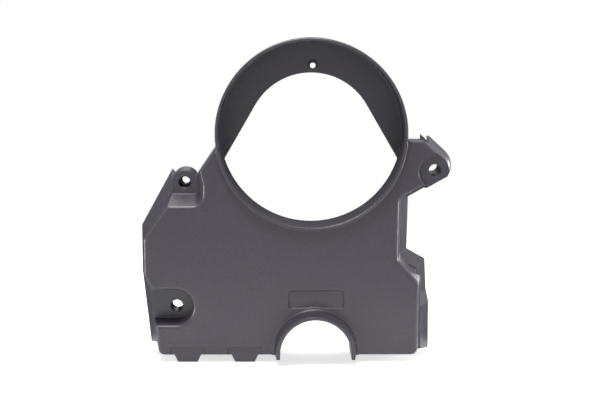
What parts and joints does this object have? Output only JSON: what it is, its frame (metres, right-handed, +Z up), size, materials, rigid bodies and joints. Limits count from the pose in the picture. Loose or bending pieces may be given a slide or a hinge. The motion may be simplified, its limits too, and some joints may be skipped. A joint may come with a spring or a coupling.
{
  "type": "lower camshaft cover",
  "caption": "Moulded plastic cover with a round camshaft collar, hollow tray body, bolt bosses, flared side skirts and a half-round shaft notch.",
  "frame": {"origin": "on the camshaft opening's axis, in the rear plane that seats on the engine", "axes": "-Y out of the cover's front, towards the viewer; +Z up, from the shaft notch to the camshaft collar; +X to the viewer's right, towards the arm"},
  "size_m": [0.2575, 0.057, 0.2654],
  "materials": {
    "cover_plastic": "moulded, fine grain, satin"
  },
  "bodies": {
    "root": {"lower_camshaft_cover": "cover_plastic"}
  },
  "joints": []
}
